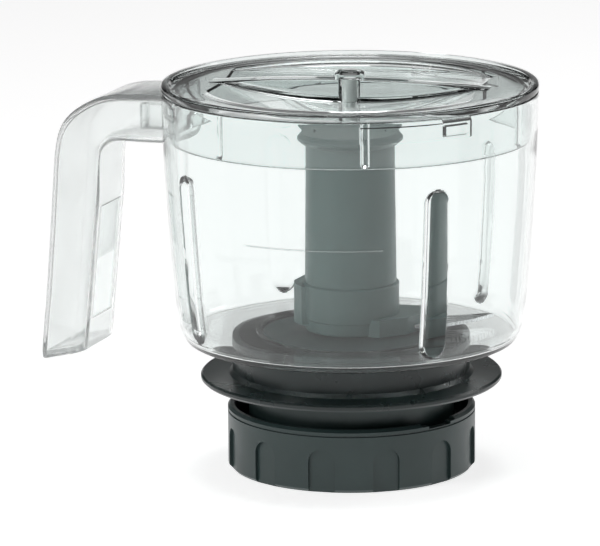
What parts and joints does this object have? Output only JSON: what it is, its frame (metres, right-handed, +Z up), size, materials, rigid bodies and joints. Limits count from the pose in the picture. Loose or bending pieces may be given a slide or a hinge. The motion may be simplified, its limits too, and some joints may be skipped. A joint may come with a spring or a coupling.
{
  "type": "food processor",
  "caption": "Food processor bowl that locks onto a blender motor base: clear bowl, lid and handle, tall blade hub, geared base with lock collar.",
  "frame": {"origin": "on the bowl's axis, in the plane of the lock collar's bottom rim", "axes": "+Z up along the bowl, blade and collar axis; -Y is the front, with the handle to the left and a little to the back (azimuth 161 degrees from +X)"},
  "size_m": [0.215, 0.1602, 0.1712],
  "materials": {
    "clear_plastic": "clear polished",
    "white_plastic": "gloss",
    "dark_plastic": "fine satin",
    "grey_plastic": "satin",
    "seal_rubber": "matt",
    "steel": "machined",
    "blade_steel": "polished",
    "bronze": "sintered",
    "gear_plastic": "natural",
    "coupling_rubber": "matt"
  },
  "bodies": {
    "bowl_unit": {"bowl": "clear_plastic", "handle": "clear_plastic", "handle_cover": "clear_plastic", "gear_housing": "dark_plastic", "floor_gasket": "seal_rubber", "floor_crown": "dark_plastic", "crown_screws": "steel", "lower_cover": "dark_plastic", "cover_screws": "steel", "input_bush": "bronze", "ring_gear": "gear_plastic", "lower_bush": "bronze", "shaft_seal": "seal_rubber", "tower_bush": "bronze"},
    "collar": {"lock_collar": "dark_plastic"},
    "input": {"sun_gear": "steel", "drive_coupling": "coupling_rubber", "coupling_nut": "steel"},
    "spindle": {"planet_carrier": "steel", "planet_pins": "steel", "pin_clips": "steel", "output_spindle": "steel"},
    "planet_1": {"planet_gear_1": "gear_plastic"},
    "planet_2": {"planet_gear_2": "gear_plastic"},
    "planet_3": {"planet_gear_3": "gear_plastic"},
    "blade_unit": {"blade_hub": "grey_plastic", "lower_blade": "blade_steel", "upper_blade": "blade_steel", "drive_insert": "steel", "hub_cap": "grey_plastic"},
    "lid_centre": {"lid_pin": "white_plastic"},
    "lid_unit": {"lid": "clear_plastic"}
  },
  "joints": [
    {"name": "collar_twist", "type": "hinge", "parent": "bowl_unit", "child": "collar", "pos_m": [0, 0, 0.015], "axis": [0, 0, -1], "range_deg": [0, 30]},
    {"name": "lid_lift", "type": "slide", "parent": "bowl_unit", "child": "lid_centre", "axis": [0, 0, 1], "range_m": [0, 0.24]},
    {"name": "lid_twist", "type": "hinge", "parent": "lid_centre", "child": "lid_unit", "pos_m": [0, 0, 0.16], "axis": [0, 0, -1], "range_deg": [0, 25]},
    {"name": "spindle_spin", "type": "hinge", "parent": "bowl_unit", "child": "spindle", "pos_m": [0, 0, 0.03], "axis": [0, 0, 1], "continuous": true},
    {"name": "input_spin", "type": "hinge", "parent": "bowl_unit", "child": "input", "pos_m": [0, 0, 0.01], "axis": [0, 0, 1], "continuous": true},
    {"name": "planet_spin_1", "type": "hinge", "parent": "spindle", "child": "planet_1", "pos_m": [0.0225, 0, 0.0228], "axis": [0, 0, 1], "continuous": true},
    {"name": "planet_spin_2", "type": "hinge", "parent": "spindle", "child": "planet_2", "pos_m": [-0.01125, 0.01949, 0.0228], "axis": [0, 0, 1], "continuous": true},
    {"name": "planet_spin_3", "type": "hinge", "parent": "spindle", "child": "planet_3", "pos_m": [-0.01125, -0.01949, 0.0228], "axis": [0, 0, 1], "continuous": true},
    {"name": "hub_lift", "type": "slide", "parent": "spindle", "child": "blade_unit", "axis": [0, 0, 1], "range_m": [0, 0.12]}
  ],
  "couplings": [
    {"joint": "input_spin", "follows": "spindle_spin", "ratio": 4},
    {"joint": "planet_spin_1", "follows": "spindle_spin", "ratio": -3},
    {"joint": "planet_spin_2", "follows": "spindle_spin", "ratio": -3},
    {"joint": "planet_spin_3", "follows": "spindle_spin", "ratio": -3},
    {"joint": "hub_lift", "follows": "lid_lift", "ratio": 0.5}
  ]
}
